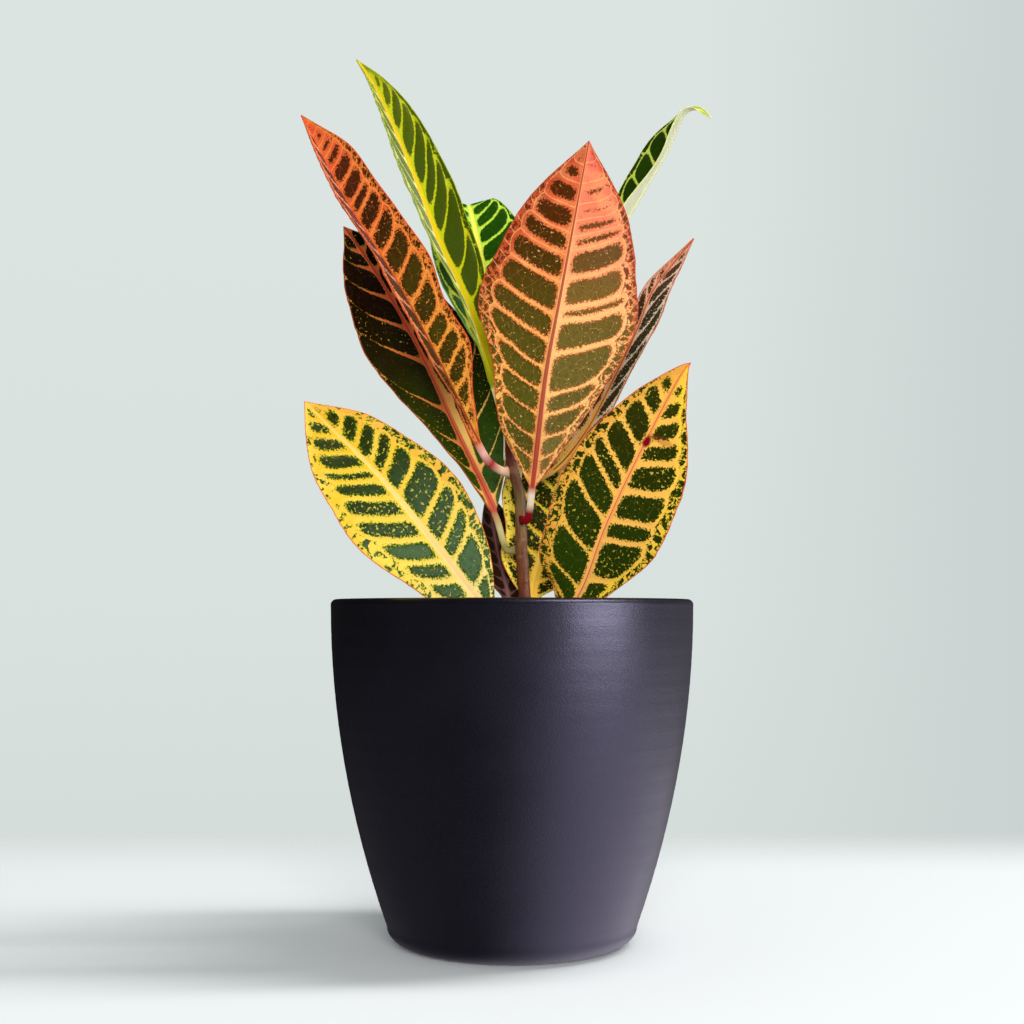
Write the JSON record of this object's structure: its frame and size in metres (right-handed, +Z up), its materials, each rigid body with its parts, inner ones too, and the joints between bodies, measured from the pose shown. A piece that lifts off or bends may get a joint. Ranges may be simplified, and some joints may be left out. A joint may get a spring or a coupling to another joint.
{
  "type": "potted croton",
  "caption": "Young croton plant with broad and narrow patterned leaves on one stem, in a plain round tapered pot filled with soil.",
  "frame": {"origin": "centre of the pot's flat base, on the floor", "axes": "+Z up along the pot's axis; the front of the plant, as pictured, faces -Y and +X is to its right as seen from the front"},
  "size_m": [0.1675, 0.1661, 0.3512],
  "materials": {
    "pot": "matte",
    "soil": "rough, crumbly",
    "stem": "smooth young bark",
    "leaf_front_pink": "glossy",
    "leaf_left_red": "glossy",
    "leaf_left_dark": "glossy",
    "leaf_tall_green": "glossy",
    "leaf_back_green": "glossy",
    "leaf_small_maroon": "glossy",
    "leaf_left_gold": "glossy",
    "leaf_right_narrow": "glossy",
    "leaf_right_dark": "glossy",
    "leaf_right_gold": "glossy",
    "leaf_low_back": "glossy",
    "leaf_rear_left": "glossy",
    "leaf_rear_right": "glossy",
    "leaf_young_left": "glossy",
    "leaf_young_right": "glossy"
  },
  "bodies": {
    "root": {"pot": "pot", "soil": "soil", "stem": "stem", "leaf_front_pink": "leaf_front_pink", "leaf_left_red": "leaf_left_red", "leaf_left_dark": "leaf_left_dark", "leaf_tall_green": "leaf_tall_green", "leaf_back_green": "leaf_back_green", "leaf_small_maroon": "leaf_small_maroon", "leaf_left_gold": "leaf_left_gold", "leaf_right_narrow": "leaf_right_narrow", "leaf_right_dark": "leaf_right_dark", "leaf_right_gold": "leaf_right_gold", "leaf_low_back": "leaf_low_back", "leaf_rear_left": "leaf_rear_left", "leaf_rear_right": "leaf_rear_right", "leaf_young_left": "leaf_young_left", "leaf_young_right": "leaf_young_right"}
  },
  "joints": []
}
